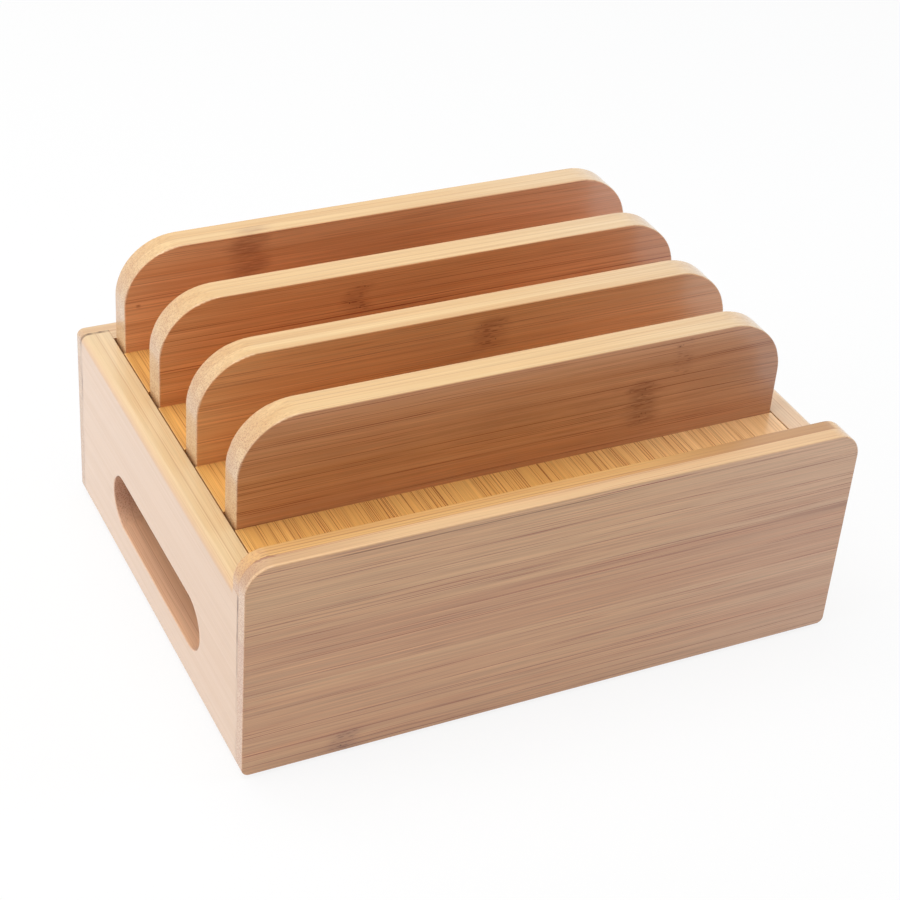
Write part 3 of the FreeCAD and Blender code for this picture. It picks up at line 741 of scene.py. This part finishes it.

# %% [markdown]
# ## Side walls
#
# The side walls are the palest boards. Their fibres run from front to back, so the rims show long faint
# lines. Two worn glue lines run down each one, where the front and back walls lap over it. The inside of
# the hand-hold slot, and every edge and cut face low on the wall, gets painted bounce light: a brighter,
# redder tint in place of the light thrown back and forth inside the slot. A little sheen stands
# for the soft bloom that the lacquer shows at a low angle.

# %% Finish: side walls
LAP_SEAMS, LAP_HALF = (-91.0, 92.0), (1.1, 1.8)
LAP_BREAKS, LAP_BREAK_STEP = ((0.2, 0.09, 0.2), 2.0), (0.35, 0.65, 0.35, 1.0)
LAP_FAINT_BELOW = (55.0, 75.0, 0.25, 1.0)
SIDE_LOWEST_SEAM = 6.0
SIDE_SHEEN = 0.25
SIDE_VALUES = {**WALL_VALUES, "On face": 0.5, "On edge": 1.0, "Hair strength": 0.3, "Thread strength": 0.24,
               "Dash strength": 0.15, "Seam strength": 0.1, "Joint strength": 0.32}
# face: a tint on the wide faces, partly the board's own tone, partly painted shade
SIDES = {
    "left_panel": {
        "Pale": (0.76, 0.56, 0.31, 1.0), "Deep": (0.72, 0.51, 0.265, 1.0), "Seed": 7.0,
        # the slot tint is painted bounce light in the slot and low on the wall
        "face": (0.875, 0.725, 0.725, 1.0), "handle": (1.18, 0.99, 1.13, 1.0), "knuckles": []},
    "right_panel": {
        "Pale": (0.80, 0.56, 0.345, 1.0), "Deep": (0.76, 0.51, 0.30, 1.0), "Seed": 8.0,
        "face": (0.87, 0.785, 0.69, 1.0), "handle": (1.1, 0.98, 0.95, 1.0),
        "knuckles": [((35.0, 52.0, FAR_LAYER), (8.0, 10.0, LAYER_HALF), 0.6, 0.7)]},
}


def lap_seams(tree, place):
    """The glue lines where the front and back walls lap over a side wall."""
    axes = axes_of(tree, place)
    broken = ramp(tree, noise(tree, place, *LAP_BREAKS), *LAP_BREAK_STEP)
    lines = [fade(tree, away(tree, axes["X"], seam), *LAP_HALF) for seam in LAP_SEAMS]
    return times(tree, highest(tree, *lines), broken, ramp(tree, axes["Y"], *LAP_FAINT_BELOW))


for name, own in SIDES.items():
    values = {**SIDE_VALUES, **{label: own[label] for label in ("Pale", "Deep", "Seed")}}
    corner = (low_corner(name)[0] - SKIN, 0.0, SIDE_LOWEST_SEAM - STRIP)
    side_bamboo = bamboo(f"{name}_bamboo", "yzx", corner, values, own["face"], own["knuckles"],
                         seams=lap_seams, handle=own["handle"], sheen=SIDE_SHEEN)
    finish(side_bamboo, name)

# %% [markdown]
# ## Floor and cleats
#
# Inside the box nothing is lacquered. The floor board and the cleats under the deck are only sanded, so
# they get the same strips with no clear coat. Both are thin, so they are one layer.

# %% Finish: floor board and cleats
FLOOR_FIRST_SEAM = 4.0
CLEAT_CORNER = (0.0, 3.0, 2.0)
INSIDE_VALUES = {**WALL_VALUES, "Layer": 40.0, "Joint strength": 0.0}
FLOOR_KNUCKLES = [((-40.0, 80.0, 3.0), (8.0, 10.0, 6.0), 0.6, 0.6)]

low = low_corner("bottom_panel")
corner = (0.0, low[1] + FLOOR_FIRST_SEAM, low[2] - SKIN)
floor_bamboo = bamboo("floor_board_bamboo", "xyz", corner, {**INSIDE_VALUES, "Seed": 21.0}, WALL_FACE,
                      FLOOR_KNUCKLES, coat=0.0)
finish(floor_bamboo, "bottom_panel")
cleat_bamboo = bamboo("cleat_bamboo", "xyz", CLEAT_CORNER, {**INSIDE_VALUES, "Seed": 23.0}, WALL_FACE,
                      coat=0.0)
finish(cleat_bamboo, "front_cleat", "back_cleat")

# %% [markdown]
# ## Screws
#
# The screws are zinc-plated steel, turned on a lathe, so their heads carry fine rings. The rings need the
# distance to the axis of the nearest screw. All the screws are one piece and stand on a grid, so a repeat
# of the place at the grid's pitch gives that distance for every one of them.

# %% Finish: screws
SCREW_HEAD = 7.0
SCREW_GRID = (3, 4)
RING_TURN = 26.0  # radians in a millimetre, which makes about four rings
ZINC, DULL_ZINC = (0.72, 0.70, 0.64, 1.0), (0.62, 0.58, 0.48, 1.0)
ZINC_CLOUDS, DULL_STEP = ((0.7, 0.7, 0.7), 3.0), (0.35, 0.7)
ZINC_GLOSS_STEP = (0.3, 0.7, 0.28, 0.42)
RING_RELIEF, RING_DEPTH = 0.15, 0.00005

material, tree = new_material("screw_zinc")
low, high = (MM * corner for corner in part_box("divider_screws"))
pitches = [(high[i] - low[i] - SCREW_HEAD) / (count - 1) for i, count in enumerate(SCREW_GRID)]
to_first = [pitch / 2 - low[i] - SCREW_HEAD / 2 for i, pitch in enumerate(pitches)]
place = in_mm(tree, add(tree, "ShaderNodeTexCoord", {}).outputs["Object"], (*to_first, 0.0))
split = axes_of(tree, place)
from_axis = [minus(tree, maths(tree, "FLOORED_MODULO", split[i], pitch), pitch / 2)
             for i, pitch in enumerate(pitches)]
squares = [times(tree, offset, offset) for offset in from_axis]
rings = maths(tree, "SINE", times(tree, maths(tree, "SQRT", plus(tree, *squares)), RING_TURN))
clouds = noise(tree, place, *ZINC_CLOUDS)
relief = add(tree, "ShaderNodeBump", {"Height": rings, "Strength": RING_RELIEF, "Distance": RING_DEPTH})
show(tree, add(tree, "ShaderNodeBsdfPrincipled", {
    "Base Color": mix(tree, ramp(tree, clouds, *DULL_STEP), ZINC, DULL_ZINC), "Metallic": 1.0,
    "Roughness": ramp(tree, clouds, *ZINC_GLOSS_STEP), "Normal": relief.outputs[0]}))
finish(material, "divider_screws")

# %% [markdown]
# ## Pads
#
# The pads under the walls are matt rubber. Rubber is never quite even: it has a fine skin from its mould
# and holds a little dust. Two noises, one fine for the relief and one coarse for the dust, are enough for
# pieces that are seen only when the station is turned over.

# %% Finish: pads
RUBBER, DUSTY_RUBBER = (0.028, 0.028, 0.028, 1.0), (0.085, 0.08, 0.072, 1.0)
RUBBER_SKIN = ((4000.0, 4000.0, 4000.0), 2.0)  # these two are counted in a metre
DUST, DUST_STEP = ((500.0, 500.0, 500.0), 3.0), (0.45, 0.75)
RUBBER_GLOSS_STEP = (0.3, 0.7, 0.62, 0.82)
SKIN_RELIEF, SKIN_DEPTH = 0.3, 0.0001

material, tree = new_material("pad_rubber_skin")
place = add(tree, "ShaderNodeTexCoord", {}).outputs["Object"]
skin = noise(tree, place, *RUBBER_SKIN)
dust = noise(tree, place, *DUST)
relief = add(tree, "ShaderNodeBump", {"Height": skin, "Strength": SKIN_RELIEF, "Distance": SKIN_DEPTH})
show(tree, add(tree, "ShaderNodeBsdfPrincipled", {
    "Base Color": mix(tree, ramp(tree, dust, *DUST_STEP), RUBBER, DUSTY_RUBBER),
    "Roughness": ramp(tree, dust, *RUBBER_GLOSS_STEP), "Normal": relief.outputs[0]}))
finish(material, "foot_pad_1", "foot_pad_2", "foot_pad_3", "foot_pad_4")

# %% [markdown]
# ## Floor of the studio
#
# A pale table top that has no edge in the picture. A big disc does that from every side. It is lit like
# any surface, which keeps the station's soft shadow, and what the lens and reflections see of it is
# lifted towards plain white.

# %% Studio floor
FLOOR_RADIUS, FLOOR_SIDES = 5.0, 96
JUST_BELOW = -0.0001
FLOOR_TONE, WHITE = (0.9, 0.9, 0.9, 1.0), (1.0, 1.0, 1.0, 1.0)
LIFT = 0.86


def seen_directly(tree):
    """1 for rays of the lens, of reflections and through glass, and 0 for light that is on its way."""
    rays = add(tree, "ShaderNodeLightPath", {}).outputs
    return highest(tree, rays["Is Camera Ray"], rays["Is Glossy Ray"], rays["Is Transmission Ray"])


bpy.ops.object.select_all(action="DESELECT")
bpy.ops.mesh.primitive_circle_add(vertices=FLOOR_SIDES, radius=FLOOR_RADIUS, fill_type="NGON",
                                  location=(0.0, 0.0, JUST_BELOW))
table = bpy.context.object
table.name = "studio_floor"
material, tree = new_material("studio_white")
plain = add(tree, "ShaderNodeBsdfDiffuse", {"Color": FLOOR_TONE})
lifted = add(tree, "ShaderNodeEmission", {"Color": WHITE, "Strength": 1.0})
share = times(tree, seen_directly(tree), LIFT)
show(tree, add(tree, "ShaderNodeMixShader", {0: share, 1: plain.outputs[0], 2: lifted.outputs[0]}))
table.data.materials.append(material)
print("studio floor", table.dimensions.x, "m across")

# %% [markdown]
# ## Light
#
# Most light comes from a wide soft box almost overhead and a little to the left. Upper edges and rims are
# bright, upright faces live on what the floor and the deck throw back, and the faces between the dividers
# glow red-brown, because every bounce takes the colour of the bamboo once more. A weaker box stands on
# the left. Two fills, a cool one on the right and a faint one behind on the left, lift the faces that the
# others miss. Fills are left out of reflections, so they put no second highlight on the lacquer.
#
# The air around is white for the lens and dim as a light. An image of a real studio could light the
# scene as well, but lamps can be moved one by one.

# %% Lights
LIGHTS_AIM = Vector((0.0, 0.0, 0.07))


def soft_box(name, place, size, power, colour=(1.0, 1.0, 1.0), mirrored=True):
    """A square soft box at a place, turned to face the station. A fill isn't mirrored in the lacquer."""
    turn = (LIGHTS_AIM - Vector(place)).to_track_quat("-Z", "Y").to_euler()
    bpy.ops.object.light_add(type="AREA", location=place, rotation=turn)
    light = bpy.context.object
    light.name = name
    light.data.shape = "SQUARE"
    light.data.size = size
    light.data.energy = power
    light.data.color = colour
    light.visible_glossy = mirrored
    print(name, power, "W")


soft_box("overhead_box", (-0.25, 0.10, 1.30), 1.0, 11.0)
soft_box("left_box", (-1.20, 0.10, 0.55), 0.8, 5.0)
soft_box("right_box", (1.20, -0.30, 0.60), 0.8, 5.5, (0.84, 0.92, 1.0), mirrored=False)
soft_box("rear_left_box", (-0.80, 1.20, 0.40), 0.8, 3.0, mirrored=False)

# %% Surroundings
AIR_LIGHT = 0.36

world = bpy.data.worlds.new("studio_air")
bpy.context.scene.world = world
world.use_nodes = True
tree = world.node_tree
tree.nodes.clear()
dim = add(tree, "ShaderNodeBackground", {"Color": WHITE, "Strength": AIR_LIGHT})
white = add(tree, "ShaderNodeBackground", {"Color": WHITE, "Strength": 1.0})
both = add(tree, "ShaderNodeMixShader", {0: seen_directly(tree), 1: dim.outputs[0], 2: white.outputs[0]})
add(tree, "ShaderNodeOutputWorld", {"Surface": both.outputs[0]})
bpy.context.scene.view_settings.view_transform = "Standard"
print(world.name, "gives light of strength", AIR_LIGHT)
